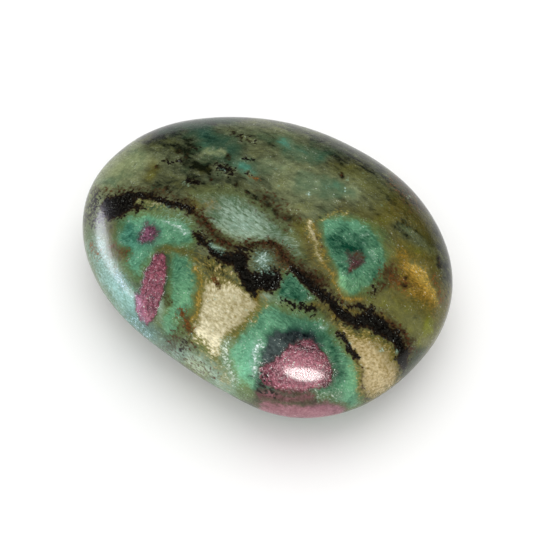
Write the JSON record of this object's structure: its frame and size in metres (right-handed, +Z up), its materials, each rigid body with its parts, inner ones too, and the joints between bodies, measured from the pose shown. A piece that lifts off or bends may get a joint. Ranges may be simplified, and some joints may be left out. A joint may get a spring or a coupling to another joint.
{
  "type": "ruby in fuchsite tumbled stone",
  "caption": "Flat, rounded and polished mineral pebble that fits in the palm: green mica rock with red crystals and a dark vein. It rests on its flat underside.",
  "frame": {"origin": "on the flat underside, below the middle of the stone's box", "axes": "+X along the longest side, +Y across the stone, +Z up through its thickness"},
  "size_m": [0.0392, 0.0304, 0.0132],
  "materials": {
    "polished_stone": "polished, green mica rock with cream, ochre and black veins and dull red crystals"
  },
  "bodies": {
    "root": {"tumbled_stone": "polished_stone"}
  },
  "joints": []
}
